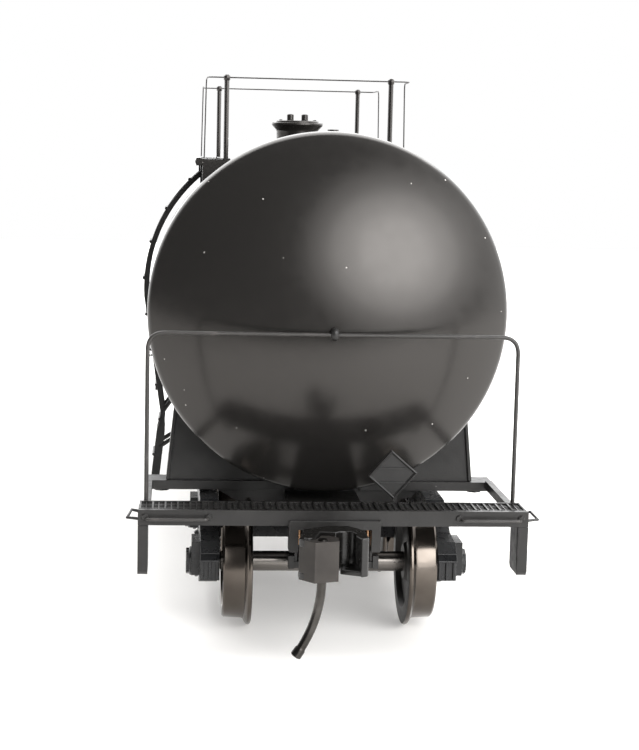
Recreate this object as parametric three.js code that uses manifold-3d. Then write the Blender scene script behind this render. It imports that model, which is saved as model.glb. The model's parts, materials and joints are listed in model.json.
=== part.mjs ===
// Model tank wagon, HO scale (1:87.1), with a funnel-flow tank on two four-wheel trucks.
// Millimetres. X runs across the wagon, Y along it and Z up. The near end is at -Y.
// The origin is on the ground line of the wheel flanges, under the middle of the wagon.
import * as THREE from 'three';
import { mergeVertices } from 'three/addons/utils/BufferGeometryUtils.js';
import Module from 'manifold-3d';

const wasm = await Module();
wasm.setup();

// ---- driving dimensions -------------------------------------------------------------------
const GAP = 0.03;              // clearance between pieces that only touch
const END = 61;                // wagon centre to the front of either end sill

const TANK_RADIUS = 17.25;
const TANK_WALL = 1;
const TANK_HALF = 49.1;        // wagon centre to the rim where a head joins the barrel
const TANK_AXIS = 29.3;        // height of the tank's axis at the heads
const TANK_SAG = 1.5;          // how much lower the axis is at the wagon's centre
const HEAD_DEPTH = 7;
const ROUND = 32;              // sides of the tank's circle

const TRUCK_INSET = 18.2;      // end sill front to truck centre
const HALF_WHEELBASE = 10.2;
const AXLE_HEIGHT = 6;
const AXLE_RADIUS = 0.95;
const AXLE_HALF = 12.45;
const WHEEL_INNER = 7.2;       // half of the back-to-back distance
const WHEEL_WIDTH = 2.7;
const TREAD_RADIUS = 5.25;
const FLANGE_RADIUS = 6;

const SILL_HALF = 17.7;
const SILL_BOTTOM = 11.15;
const WALK_TOP = 12.55;
const WALK_DEPTH = 4.14;
const HOOP_INSET = 4.45;       // end sill front to the plane of the end handrail
const HOOP_HALF = 17.1;
const HOOP_TOP = 28;
const PLACARD_LEAN = 4;        // degrees that the diamond is turned

const COUPLER_HEIGHT = 10.25;
const COUPLER_PIVOT = 6.5;     // end sill front back to the coupler's post
const COUPLER_REACH = 10.4;    // end sill front out to the knuckle's nose
const KNUCKLE_PIN = [-3.1, -8.4];
const TRIP_PIN = [-1.9, -9.3];

const DECK_TOP = 43.6;
const DECK_HALF_LENGTH = 18.6;
const RAIL_TOP = 52.5;
const POST_OUT = 9.2;
const POST_ALONG = 18.2;
const PLATFORM_WIRE = 0.12;    // radius of the platforms' handrail wire

const LADDER_RADIUS = 18.15;   // middle of the ladder's stile, from the tank's axis
const LADDER_HALF_WIDTH = 2.3;

// ---- materials ----------------------------------------------------------------------------
function paint(color, roughness) {
  return new THREE.MeshStandardMaterial({ color, roughness, metalness: 0 });
}
function metal(color, roughness) {
  return new THREE.MeshStandardMaterial({ color, roughness, metalness: 1 });
}
const tankBlack = paint(0x1d1c1b, 0.42);
const frameBlack = paint(0x232525, 0.5);
const truckBlack = paint(0x26272a, 0.6);
const wheelNickel = metal(0x6d655d, 0.3);
const axleSteel = metal(0x8a8480, 0.3);
const couplerMetal = metal(0x3c3836, 0.5);
const pinSteel = metal(0x2a2929, 0.25);
const bronze = metal(0xb87a45, 0.35);
const weightSteel = metal(0x777777, 0.5);

// ---- shape helpers ------------------------------------------------------------------------
function solid(geometry) {
  const bare = geometry.clone();
  bare.deleteAttribute('normal');
  bare.deleteAttribute('uv');
  const merged = mergeVertices(bare, 1e-4);
  return new wasm.Manifold(new wasm.Mesh({
    numProp: 3,
    vertProperties: new Float32Array(merged.attributes.position.array),
    triVerts: new Uint32Array(merged.index.array),
  }));
}

function geometryOf(manifold) {
  const mesh = manifold.getMesh();
  const geometry = new THREE.BufferGeometry();
  geometry.setAttribute('position', new THREE.BufferAttribute(mesh.vertProperties, 3));
  geometry.setIndex(new THREE.BufferAttribute(mesh.triVerts, 1));
  geometry.computeVertexNormals();
  return geometry;
}

function join(...geometries) {
  return geometryOf(geometries.map(solid).reduce((all, next) => all.add(next)));
}

function cut(geometry, ...tools) {
  return geometryOf(tools.map(solid).reduce((left, tool) => left.subtract(tool), solid(geometry)));
}

function block([x0, x1], [y0, y1], [z0, z1]) {
  return new THREE.BoxGeometry(x1 - x0, y1 - y0, z1 - z0)
    .translate((x0 + x1) / 2, (y0 + y1) / 2, (z0 + z1) / 2);
}

function upright(radius, z0, z1, x, y, sides = 12) {
  return new THREE.CylinderGeometry(radius, radius, z1 - z0, sides)
    .rotateX(Math.PI / 2).translate(x, y, (z0 + z1) / 2);
}

function crosswise(radius, x0, x1, y, z, sides = 12) {
  return new THREE.CylinderGeometry(radius, radius, x1 - x0, sides)
    .rotateZ(Math.PI / 2).translate((x0 + x1) / 2, y, z);
}

function lathe(profile, sides) {
  return new THREE.LatheGeometry(profile.map(([r, h]) => new THREE.Vector2(r, h)), sides);
}

// An outline in plan, given as [x, y] points, raised from z0 to z1.
function slab(outline, z0, z1) {
  const shape = new THREE.Shape(outline.map(([x, y]) => new THREE.Vector2(x, y)));
  return new THREE.ExtrudeGeometry(shape, { depth: z1 - z0, bevelEnabled: false }).translate(0, 0, z0);
}

// An outline across the wagon, given as [x, z] points, running from y0 to y1.
function crossPlate(outline, y0, y1) {
  const shape = new THREE.Shape(outline.map(([x, z]) => new THREE.Vector2(x, z)));
  return new THREE.ExtrudeGeometry(shape, { depth: y1 - y0, bevelEnabled: false })
    .rotateX(Math.PI / 2).translate(0, y1, 0);
}

// An outline seen from the side, given as [y, z] points, running from x0 to x1.
function sidePlate(outline, x0, x1, holes = []) {
  const shape = new THREE.Shape(outline.map(([y, z]) => new THREE.Vector2(y, z)));
  for (const hole of holes) shape.holes.push(new THREE.Path(hole.map(([y, z]) => new THREE.Vector2(y, z))));
  return new THREE.ExtrudeGeometry(shape, { depth: x1 - x0, bevelEnabled: false })
    .rotateX(Math.PI / 2).rotateZ(Math.PI / 2).translate(x0, 0, 0);
}

const mirrored = (outline) => outline.map(([x, z]) => [-x, z]).reverse();

// A path that passes through its points in equal steps of t.
class PathThrough extends THREE.Curve {
  constructor(points) {
    super();
    this.points = points;
  }
  getPoint(t) {
    const place = t * (this.points.length - 1);
    const first = Math.min(Math.floor(place), this.points.length - 2);
    return this.points[first].clone().lerp(this.points[first + 1], place - first);
  }
  getPointAt(t) {
    return this.getPoint(t);
  }
  getTangentAt(t) {
    return this.getTangent(t);
  }
}

// The corners of a bent wire, each rounded to a bend radius by a few points on a parabola.
function bend(corners, radius, steps = 3) {
  const at = corners.map((corner) => new THREE.Vector3(...corner));
  const path = [at[0]];
  for (let i = 1; i < at.length - 1; i++) {
    const into = at[i - 1].clone().sub(at[i]).setLength(radius).add(at[i]);
    const out = at[i + 1].clone().sub(at[i]).setLength(radius).add(at[i]);
    const arc = new THREE.QuadraticBezierCurve3(into, at[i], out);
    path.push(...arc.getPoints(steps));
  }
  path.push(at[at.length - 1]);
  return path;
}

function wire(points, radius, sides = 6) {
  const circle = new THREE.Shape().absarc(0, 0, radius, 0, 2 * Math.PI, false);
  return new THREE.ExtrudeGeometry(circle, {
    curveSegments: sides / 2,
    steps: points.length - 1,
    extrudePath: new PathThrough(points),
  });
}

// ---- scene graph helpers ------------------------------------------------------------------
const wagon = new THREE.Group();
const ends = { near: new THREE.Group(), far: new THREE.Group() };
ends.far.rotation.z = Math.PI;
wagon.add(ends.near, ends.far);

function place(name, geometry, material, parent = wagon) {
  const mesh = new THREE.Mesh(geometry, material);
  mesh.name = name;
  parent.add(mesh);
  return mesh;
}

// The same piece at both ends of the wagon. Its geometry is drawn for the near end.
function placeAtEnds(name, geometry, material) {
  for (const [end, group] of Object.entries(ends)) place(`${name}_${end}`, geometry, material, group);
}

const along = (inset) => inset - END;    // Y of a place that far behind the near end sill's front

// ---- tank ---------------------------------------------------------------------------------
// The funnel-flow barrel is two straight halves that both slope down to the wagon's centre.
function barrelSolid(radius, halfLength) {
  const geometry = new THREE.CylinderGeometry(radius, radius, 2 * halfLength, ROUND, 2);
  const spot = geometry.attributes.position;
  for (let i = 0; i < spot.count; i++) {
    spot.setZ(i, spot.getZ(i) + axisHeight(spot.getY(i)));
  }
  return geometry;
}

function axisHeight(y) {
  return TANK_AXIS - TANK_SAG * (1 - Math.abs(y) / TANK_HALF);
}

const tankEnvelope = barrelSolid(TANK_RADIUS + GAP, TANK_HALF);

function tankBarrel() {
  return cut(barrelSolid(TANK_RADIUS, TANK_HALF), barrelSolid(TANK_RADIUS - TANK_WALL, TANK_HALF + 1));
}

function tankHead() {
  const dish = (radius, depth, steps) => Array.from({ length: steps + 1 }, (_, i) => {
    const angle = (Math.PI / 2) * (i / steps);
    return [radius * Math.sin(angle), -depth * Math.cos(angle)];
  });
  const inner = TANK_RADIUS - TANK_WALL;
  const plug = inner - 0.1;
  const profile = [
    ...dish(TANK_RADIUS, HEAD_DEPTH, 6),
    [plug, 0],
    [plug, 2],
    [plug - TANK_WALL, 2],
    ...dish(plug - TANK_WALL, HEAD_DEPTH - TANK_WALL, 3).reverse(),
  ];
  profile[0][0] = 0;
  profile[profile.length - 1][0] = 0;
  return lathe(profile, ROUND).translate(0, -TANK_HALF - GAP, TANK_AXIS);
}

function ballastWeight() {
  const outline = [[-7, 15.2], [7, 15.2], [8.5, 17.2], [8.5, 22], [-8.5, 22], [-8.5, 17.2]];
  return crossPlate(outline, -35, 35);
}

// ---- tank fittings ------------------------------------------------------------------------
function manwayNeck() {
  const rim = 48;
  const profile = [[1.9, 44], [2.57, 44], [2.57, 47], [3.17, 47.7], [3.17, rim], [2.7, rim],
    [2.7, rim - 0.3], [1.9, rim - 0.3], [1.9, 44]];
  return cut(lathe(profile, 20).rotateX(Math.PI / 2), tankEnvelope);
}

function manwayCover() {
  const seat = 47.7 + GAP;
  const knobs = [-0.88, 0.88].map((x) => upright(0.42, 48.1, 49.05, x, 0, 8));
  return join(upright(2.62, seat, 48.25, 0, 0, 20), ...knobs);
}

function reliefValve() {
  const [x, y] = [2.95, -16.6];
  return cut(join(upright(0.45, 44.5, 46.6, x, y, 8), upright(0.65, 46.4, 47.1, x, y, 8)), tankEnvelope);
}

function bottomOutlet() {
  const profile = [[0, 8.4], [1.5, 8.4], [1.5, 9.3], [2.4, 9.6], [2.4, 12], [0, 12]];
  return cut(lathe(profile, 16).rotateX(Math.PI / 2), tankEnvelope);
}

// One handrail wire at each end of the top platforms, held by a knob on each front post.
function platformRailPath() {
  const [front, foot] = [-POST_ALONG, 5.2 - POST_ALONG];
  return bend([
    [-11.5, foot, DECK_TOP + GAP], [-11.4, foot, RAIL_TOP], [-11.3, front, RAIL_TOP],
    [11.3, front, RAIL_TOP], [11.4, foot, RAIL_TOP], [11.5, foot, DECK_TOP + GAP],
  ], 0.9);
}

function topPlatform() {
  const length = [-DECK_HALF_LENGTH, DECK_HALF_LENGTH];
  const parts = [
    block([9, 12.4], length, [DECK_TOP - 0.6, DECK_TOP - 0.25]),
    block([8.85, 9.4], length, [DECK_TOP - 0.85, DECK_TOP]),
    block([11.9, 12.5], length, [DECK_TOP - 0.85, DECK_TOP]),
  ];
  for (const y of [-POST_ALONG, 0, POST_ALONG]) {
    parts.push(block([9.1, 11.8], [y - 0.4, y + 0.4], [38.5, DECK_TOP - 0.4]));
  }
  for (const y of [-POST_ALONG, POST_ALONG]) {
    parts.push(upright(0.28, DECK_TOP - 0.5, RAIL_TOP, POST_OUT, y, 8));
    parts.push(block([POST_OUT - 0.5, POST_OUT + 0.3], [y - 0.3, y + 0.3], [DECK_TOP - 0.5, DECK_TOP]));
    parts.push(new THREE.SphereGeometry(0.42, 8, 6).rotateX(Math.PI / 2).translate(POST_OUT, y, RAIL_TOP));
  }
  const hole = wire(platformRailPath(), PLATFORM_WIRE + 0.04);
  return cut(join(...parts), tankEnvelope, hole, hole.clone().rotateZ(Math.PI));
}

// ---- side ladders -------------------------------------------------------------------------
// Each ladder follows the tank down to its side, drops to the bottom and flares out at its foot.
function ladderRun() {
  const centre = axisHeight(0);
  const [top, side] = [0.87, -0.06];
  const arc = Array.from({ length: 6 }, (_, i) => {
    const angle = top + (side - top) * (i / 5);
    return new THREE.Vector2(LADDER_RADIUS * Math.cos(angle), centre + LADDER_RADIUS * Math.sin(angle));
  });
  return [...arc, new THREE.Vector2(15.95, 12.2), new THREE.Vector2(16.85, 3.8)];
}

function ladder() {
  const run = ladderRun();
  const half = (i) => (i < run.length - 2 ? 0.28 : 0.42);
  const shifted = (side) => run.map((point, i) => {
    const d = side * half(i);
    const before = run[Math.max(i - 1, 0)];
    const after = run[Math.min(i + 1, run.length - 1)];
    const way = after.clone().sub(before).normalize();
    return [point.x - way.y * d, point.y + way.x * d];
  });
  const outline = [...shifted(1), ...shifted(-1).reverse()];
  const parts = [-LADDER_HALF_WIDTH, LADDER_HALF_WIDTH].map((y) => crossPlate(outline, y - 0.2, y + 0.2));
  const pitch = 4.4;
  let left = 1.6;
  for (let i = 1; i < run.length; i++) {
    const [from, to] = [run[i - 1], run[i]];
    const length = from.distanceTo(to);
    for (; left < length; left += pitch) {
      const at = from.clone().lerp(to, left / length);
      const out = to.clone().sub(from).normalize();
      const rung = new THREE.CylinderGeometry(0.2, 0.2, 2 * LADDER_HALF_WIDTH + 0.7, 4)
        .translate(at.x - out.y * 0.36, 0, at.y + out.x * 0.36);
      parts.push(rung);
    }
    left -= length;
  }
  for (const [low, high] of [[[16, 12.4], [12.6, 17.2]], [[16.4, 8], [7.5, 14]]]) {
    for (const y of [-LADDER_HALF_WIDTH, LADDER_HALF_WIDTH]) {
      parts.push(wire([new THREE.Vector3(low[0], y, low[1]), new THREE.Vector3(high[0], y, high[1])], 0.25));
    }
  }
  return cut(join(...parts), tankEnvelope);
}

// ---- underframe ---------------------------------------------------------------------------
const BOLSTER_Y = along(TRUCK_INSET);

function bodyBolster() {
  const half = [[0, 8.3], [4, 8.3], [8.2, 9.8], [10.3, 11.1], [17.4, 11.1], [17.4, 12], [15.1, 12],
    [14.6, 17.3], [14.3, 20.5]];
  const web = crossPlate([...half, ...mirrored(half).slice(0, -1)], BOLSTER_Y - 1, BOLSTER_Y + 1);
  const flanges = [[-17.4, -4], [4, 17.4]].map((x) => block(x, [BOLSTER_Y - 1.5, BOLSTER_Y + 1.5], [11.1, 12]));
  const pads = [-1, 1].map((side) => upright(0.8, 10.8, 11.3, 15.75 * side, BOLSTER_Y, 8));
  const seat = TANK_RADIUS + 5 * GAP;
  const tank = new THREE.CylinderGeometry(seat, seat, 6, ROUND).translate(0, BOLSTER_Y, axisHeight(BOLSTER_Y));
  const boss = block([-2.5, 2.5], [BOLSTER_Y - 1.45, BOLSTER_Y + 1.45], [8.3, 11.5]);
  return cut(join(web, boss, ...flanges, ...pads), tank, upright(0.97, 8, 11.3, 0, BOLSTER_Y, 8));
}

function draftSill() {
  const [front, back] = [along(0.68), along(TRUCK_INSET - 1.5 - GAP)];
  const body = join(
    block([-3.55, 3.55], [front, along(9.8)], [7.75, 11.1]),
    block([-3.55, 3.55], [along(9.5), back], [8.6, 11.1]),
    block([-4.15, 4.15], [along(-0.4), along(-GAP)], [8.8, 11.7]),
    block([-4.15, 4.15], [along(-0.2), along(1.2)], [8.8, 11.1]),
  );
  const mouth = block([-3.3, 3.3], [along(-1), along(9)], [7, 10.85]);
  return join(cut(body, mouth), upright(1, 7.75, 11, 0, along(COUPLER_PIVOT), 12));
}

function couplerLid() {
  const plate = block([-3.55, 3.55], [along(0.68), along(9.6)], [7.1, 7.75 - GAP]);
  const ears = [-1, 1].map((side) => block(
    side < 0 ? [-4.1, -3.58] : [3.58, 4.1], [along(0.4), along(1.4)], [7.1, 8.3],
  ));
  const lugs = [-1, 1].map((side) => block(
    side < 0 ? [-4, -3] : [3, 4], [along(0.68), along(1.4)], [7.1, 7.7],
  ));
  return join(plate, ...ears, ...lugs);
}

function centringSpring() {
  const length = [along(0.9), along(4.2)];
  return join(
    block([-3.2, 3.2], length, [10.68, 10.8]),
    block([-3.2, -3.06], length, [9.2, 10.8]),
    block([3.06, 3.2], length, [9.2, 10.8]),
  );
}

function endSill() {
  const deck = [11.75, 12.03];
  const beams = [-1, 1].map((side) => {
    const x = side < 0 ? [-17.3, -16.65] : [16.65, 17.3];
    return block(x, [along(4.6), along(TRUCK_INSET - 1.5 - GAP)], [11.35, 12.2]);
  });
  const handholds = [-1, 1].map((side) => wire([
    [17.5, along(2.4), 11.9], [18.3, along(2.2), 12.1], [18.65, along(0.5), 11.75], [17.5, along(0.2), 11.7],
  ].map(([x, y, z]) => new THREE.Vector3(side * x, y, z)), 0.14));
  return join(
    block([-SILL_HALF, SILL_HALF], [along(0), along(0.35)], [SILL_BOTTOM, WALK_TOP]),
    block([-SILL_HALF, SILL_HALF], [along(0.2), along(4.85)], deck),
    ...beams,
    ...handholds,
  );
}

function endWalkway() {
  const half = SILL_HALF - 0.1;
  const [front, back] = [along(0.35 + GAP), along(WALK_DEPTH)];
  const bars = 31;
  const bar = 0.3;
  const pitch = (2 * half) / (bars + 1);
  const cells = Array.from({ length: bars + 1 }, (_, i) => {
    const x = -half + i * pitch;
    return block([x + bar / 2, x + pitch - bar / 2], [front + 0.3, back - 0.3], [11.5, 13]);
  });
  return cut(block([-half, half], [front, back], [12.03 + GAP, WALK_TOP]), ...cells);
}

function endHandrail() {
  const y = along(HOOP_INSET);
  const foot = 12.03 + GAP;
  const hoop = wire(bend([
    [-HOOP_HALF, y, foot], [-HOOP_HALF, y, HOOP_TOP], [HOOP_HALF, y, HOOP_TOP], [HOOP_HALF, y, foot],
  ], 1.6, 4), 0.17);
  const clip = block([-0.3, 0.3], [y - 0.25, -TANK_HALF - HEAD_DEPTH - 2 * GAP], [HOOP_TOP - 0.6, HOOP_TOP + 0.7]);
  return join(hoop, clip);
}

function placardHolder() {
  const [x, z, reach] = [5.68, 15.1, 2.3];
  const y = along(HOOP_INSET);
  const diamond = (r) => [PLACARD_LEAN, PLACARD_LEAN + 90, PLACARD_LEAN + 180, PLACARD_LEAN + 270].map(
    (degrees) => {
      const angle = THREE.MathUtils.degToRad(degrees);
      return [x + r * Math.cos(angle), z + r * Math.sin(angle)];
    },
  );
  const recess = crossPlate(diamond(reach - 0.3), y - 0.3, y - 0.05);
  const ribs = [-0.8, 0.55].map((up) => block([x - 1.3, x + 1.3], [y - 0.2, y], [z + up - 0.06, z + up + 0.06]));
  const stem = block([x + 0.05, x + 0.45], [y - 0.1, y + 0.15], [12.03 + GAP, z - reach + 0.5]);
  return join(cut(crossPlate(diamond(reach), y - 0.2, y + 0.2), recess), ...ribs, stem);
}

function cornerStep(side) {
  const span = (low, high) => (side < 0 ? [-high, -low] : [low, high]);
  const top = SILL_BOTTOM - GAP;
  const outline = [[along(0), top], [along(0), 6.9], [along(0.3), 6.6], [along(3.5), 6.6],
    [along(3.8), 6.9], [along(3.8), top]];
  const cheek = ([x0, x1]) => sidePlate(outline, x0, x1);
  const slot = block(span(17.05, 17.4), [along(0.35), along(3.45)], [7, 12]);
  const groove = block(span(16.7, 17), [along(0.3), along(0.55)], [7.05, 12]);
  return cut(join(cheek(span(16.8, 17.7))), slot, groove);
}

function sillGrabIron(side) {
  const [inner, outer, z] = [11.5, 16.9, 11.8];
  return wire(bend([
    [side * inner, along(-GAP), z], [side * inner, along(-0.65), z],
    [side * outer, along(-0.65), z], [side * outer, along(-GAP), z],
  ], 0.3, 2), 0.14);
}

// ---- trucks -------------------------------------------------------------------------------
function sideFrame(side) {
  const half = [[0, 2.5], [4.4, 2.5], [8.6, 4.9], [13.5, 4.9], [13.5, 7.5], [12.4, 8.4], [9.2, 8.6],
    [5, 10.9], [0, 10.9]];
  const outline = [...half.slice(0, -1), ...mirrored(half).slice(0, -1)];
  const window = [[4.4, 4.3], [7.6, 6], [7.6, 7.3], [4.4, 9.2]];
  const x = side < 0 ? [-12, -10.2] : [10.2, 12];
  const cap = (y) => [
    block(side < 0 ? [-12.8, -11.9] : [11.9, 12.8], [y - 1.7, y + 1.7], [5, 8.2]),
    crosswise(1.25, side < 0 ? -13.3 : 12.6, side < 0 ? -12.6 : 13.3, y, AXLE_HEIGHT, 8),
  ];
  const well = [[-3, 3.5], [3, 3.5], [3, 6.7], [-3, 6.7]];
  const coils = [-1.5, 1.5].map((y) => upright(1.1, 3.2, 6.9, side * 11.1, y, 6));
  return [sidePlate(outline, ...x, [window, mirrored(window), well]),
    ...cap(-HALF_WHEELBASE), ...cap(HALF_WHEELBASE), ...coils];
}

function truckFrame() {
  const bolster = block([-10.6, 10.6], [-2.6, 2.6], [6.6, 8]);
  const plate = upright(3.6, 7.8, 8.3 - 2 * GAP, 0, 0, 12);
  const frame = join(...sideFrame(-1), ...sideFrame(1), bolster, plate);
  const bearings = [-HALF_WHEELBASE, HALF_WHEELBASE].map((y) => {
    const half = AXLE_HALF + 0.1;
    return lathe([[0, -half], [1, -half + 1.3], [1, half - 1.3], [0, half]], 8)
      .rotateZ(Math.PI / 2).translate(0, y, AXLE_HEIGHT);
  });
  return cut(frame, ...bearings, upright(1.15, 6, 9, 0, 0, 10), upright(2, 5, 7.1, 0, 0, 10));
}

function kingpinScrew() {
  return lathe([[0, 6.1], [1.75, 6.1], [1.75, 7.1 - GAP], [0.9, 7.1 - GAP], [0.9, 11.2], [0, 11.2]], 8)
    .rotateX(Math.PI / 2);
}

function axle() {
  const end = AXLE_HALF;
  return lathe([[0, -end], [0.75, -end + 1], [0.75, -10.1], [AXLE_RADIUS, -10.05],
    [AXLE_RADIUS, 10.05], [0.75, 10.1], [0.75, end - 1], [0, end]], 10).rotateZ(Math.PI / 2);
}

function wheel(side) {
  const bore = AXLE_RADIUS + 0.02;
  const profile = [[bore, 0], [FLANGE_RADIUS - 0.15, 0], [FLANGE_RADIUS, 0.35], [TREAD_RADIUS + 0.05, 0.8],
    [TREAD_RADIUS - 0.05, WHEEL_WIDTH], [4.3, WHEEL_WIDTH], [4.2, 2.1], [bore, 2.1], [bore, 0]];
  return lathe(profile, 20).rotateZ(-side * Math.PI / 2).translate(side * WHEEL_INNER, 0, 0);
}

// ---- coupler ------------------------------------------------------------------------------
const KNUCKLE_Z = [COUPLER_HEIGHT - 1.75, COUPLER_HEIGHT + 1.75];

function couplerBody() {
  const at = (points) => points.map(([x, s]) => [x, along(s)]);
  const pivot = upright(2.2, 9.4, 10.6, 0, along(COUPLER_PIVOT), 16);
  const shank = block([-0.95, 0.95], [along(-4.6), along(5)], [9.4, 10.6]);
  const head = slab(at([[-0.95, -3.8], [0.95, -3.8], [2.1, -5.6], [2.2, -8.2], [1.5, -8.9], [1.2, -8],
    [0.9, -6.6], [0.1, -6], [-3.4, -6], [-3.4, -5.2]].reverse()), 8.6, 12);
  const [px, ps] = KNUCKLE_PIN;
  const lug = (z) => [
    upright(0.8, ...z, px, along(ps), 12),
    slab(at([[-3.4, -5.6], [-1.6, -5.6], [px + 0.75, ps + 0.2], [px - 0.3, ps + 0.7]].reverse()), ...z),
  ];
  const rivet = upright(0.3, 8.6, 12.1, px, along(ps), 8);
  const hole = upright(1.08, 9, 11, 0, along(COUPLER_PIVOT), 12);
  return cut(join(pivot, shank, head, ...lug([8.6, 9.15]), ...lug([11.35, 12]), rivet), hole);
}

function couplerKnuckle() {
  const at = (points) => points.map(([x, s]) => [x, along(s)]);
  const [px, ps] = KNUCKLE_PIN;
  const nose = at([[-3.85, -8.9], [-2.6, -COUPLER_REACH], [-0.5, -9.7], [-0.5, -8.3], [-1.2, -7.6],
    [-1.9, -7.6], [-2.2, -8.5]].reverse());
  const ear = upright(0.75, 9.2, 11.3, px, along(ps), 10);
  const jaw = cut(slab(nose, ...KNUCKLE_Z), upright(0.87, 8, 12.5, px, along(ps), 14));
  const hole = upright(0.34, 8, 12.5, px, along(ps), 8);
  const [tx, ts] = TRIP_PIN;
  const socket = upright(0.45, 8, 12.5, tx, along(ts), 12);
  const web = block([px, px + 1.2], [along(ps - 0.7), along(ps)], [9.2, 11.3]);
  return cut(join(jaw, ear, web), hole, socket);
}

function tripPin() {
  const [tx, ts] = TRIP_PIN;
  const y = along(ts);
  const path = new THREE.CatmullRomCurve3([[tx, 12.1], [tx, 9.5], [tx - 0.02, 8], [-2.15, 5.7], [-2.85, 3.7], [-4, 1.9]]
    .map(([x, z]) => new THREE.Vector3(x, y, z)));
  return wire(path.getPoints(14), 0.4, 8);
}

// ---- assembly -----------------------------------------------------------------------------
place('tank_barrel', tankBarrel(), tankBlack);
placeAtEnds('tank_head', tankHead(), tankBlack);
place('ballast_weight', ballastWeight(), weightSteel);
place('manway_neck', manwayNeck(), tankBlack);
place('manway_cover', manwayCover(), tankBlack);
place('relief_valve', reliefValve(), tankBlack);
place('bottom_outlet', bottomOutlet(), frameBlack);

const platform = topPlatform();
place('top_platform_right', platform, tankBlack);
place('top_platform_left', platform, tankBlack).rotation.z = Math.PI;
placeAtEnds('platform_handrail', wire(platformRailPath(), PLATFORM_WIRE), frameBlack);

const sideLadder = ladder();
place('ladder_right', sideLadder, frameBlack);
place('ladder_left', sideLadder, frameBlack).rotation.z = Math.PI;

placeAtEnds('body_bolster', bodyBolster(), frameBlack);
placeAtEnds('draft_sill', draftSill(), frameBlack);
placeAtEnds('coupler_lid', couplerLid(), frameBlack);
placeAtEnds('centring_spring', centringSpring(), bronze);
placeAtEnds('end_sill', endSill(), frameBlack);
placeAtEnds('end_walkway', endWalkway(), frameBlack);
placeAtEnds('end_handrail', endHandrail(), frameBlack);
placeAtEnds('placard_holder', placardHolder(), frameBlack);
for (const [word, side] of [['left', -1], ['right', 1]]) {
  placeAtEnds(`corner_step_${word}`, cornerStep(side), frameBlack);
  placeAtEnds(`sill_grab_iron_${word}`, sillGrabIron(side), frameBlack);
}

for (const [end, group] of Object.entries(ends)) {
  const truck = new THREE.Group();
  truck.position.set(0, BOLSTER_Y, 0);
  group.add(truck);
  place(`truck_frame_${end}`, truckFrame(), truckBlack, truck);
  place(`kingpin_screw_${end}`, kingpinScrew(), axleSteel, truck);
  for (const [spot, y] of [['outer', -HALF_WHEELBASE], ['inner', HALF_WHEELBASE]]) {
    const wheelset = new THREE.Group();
    wheelset.position.set(0, y, AXLE_HEIGHT);
    truck.add(wheelset);
    place(`axle_${end}_${spot}`, axle(), axleSteel, wheelset);
    place(`wheel_${end}_${spot}_left`, wheel(-1), wheelNickel, wheelset);
    place(`wheel_${end}_${spot}_right`, wheel(1), wheelNickel, wheelset);
  }
}

placeAtEnds('coupler_body', couplerBody(), couplerMetal);
placeAtEnds('coupler_knuckle', couplerKnuckle(), couplerMetal);
placeAtEnds('trip_pin', tripPin(), pinSteel);

export default wagon;
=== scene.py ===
import json
import math

import bmesh
import bpy
from mathutils import Matrix, Vector


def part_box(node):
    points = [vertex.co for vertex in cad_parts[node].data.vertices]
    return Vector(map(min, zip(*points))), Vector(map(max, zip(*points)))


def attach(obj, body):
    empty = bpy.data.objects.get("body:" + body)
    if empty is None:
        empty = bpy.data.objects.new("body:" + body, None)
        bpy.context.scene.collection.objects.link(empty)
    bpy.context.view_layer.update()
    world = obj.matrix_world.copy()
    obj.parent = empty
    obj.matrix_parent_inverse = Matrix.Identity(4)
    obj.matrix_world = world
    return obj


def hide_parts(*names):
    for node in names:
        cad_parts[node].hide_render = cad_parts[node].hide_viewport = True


# Looks of the HO model tank wagon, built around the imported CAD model.
# Metres. X runs across the wagon, Y along it with the near end at -Y, and Z up.

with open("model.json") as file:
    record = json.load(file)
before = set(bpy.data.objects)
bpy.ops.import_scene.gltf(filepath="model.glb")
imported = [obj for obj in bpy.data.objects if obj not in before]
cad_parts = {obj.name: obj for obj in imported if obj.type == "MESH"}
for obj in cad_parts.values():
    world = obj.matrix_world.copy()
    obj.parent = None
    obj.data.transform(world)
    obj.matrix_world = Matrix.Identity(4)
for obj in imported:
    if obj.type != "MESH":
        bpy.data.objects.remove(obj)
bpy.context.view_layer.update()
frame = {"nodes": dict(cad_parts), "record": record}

# ---- driving dimensions ------
MM = 0.001
SMOOTH_SIDES = 160             # sides of the tank's circle
WHEEL_SIDES = 96
EDGE_ROUNDING = 0.07 * MM      # how far the moulded parts' edges are rounded
WIDER_ROUNDING = 0.15 * MM     # on the coupler knuckles and the truck frames
SEAM_SHAPE = (                 # across a plate seam of the barrel: place in mm, and depth
    (-0.5, 0), (-0.16, 0), (-0.06, 0.025 * MM), (0.06, 0.025 * MM), (0.16, 0), (0.5, 0),
)
KNUCKLE_RADIUS = 1.3 * MM      # of the tank heads' turned-over edge
KNUCKLE_START = math.radians(42)       # the head's slope where the knuckle meets the crown
SKIRT = 0.3 * MM               # straight edge of a tank head, behind its knuckle
HOOP_BEND = 1.6 * MM           # at the end handrail's upper corners
AXLE_SHOULDER = 10.1 * MM      # where the axle thickens, from its middle
SPRING_PLACE = (11.1 * MM, 1.5 * MM, 3.4 * MM)     # from the truck's middle: across, along, and foot height
JOURNAL_FOOT = 5 * MM          # heights on the side frames' ends: foot and top of the ribs, top of the lip
JOURNAL_SHELF = 6.75 * MM
JOURNAL_TOP = 7.45 * MM
BOLSTER_SLOPE = (              # a body bolster's outer edge, from foot to top: across and up
    (15.15 * MM, 12.05 * MM), (14.65 * MM, 17.3 * MM), (14.4 * MM, 19.6 * MM),
)
ROOM_FRONT = 0.2               # brightness of the room in front of the wagon
ROOM_BACK = 2.3                # and of the lit backdrop behind it
FLOOR_GLOW = 0.38              # light that the pale table gives off
ROOM_SIDEWAYS = 0.42           # how far the room brightens to the right, for one part to the back
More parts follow.
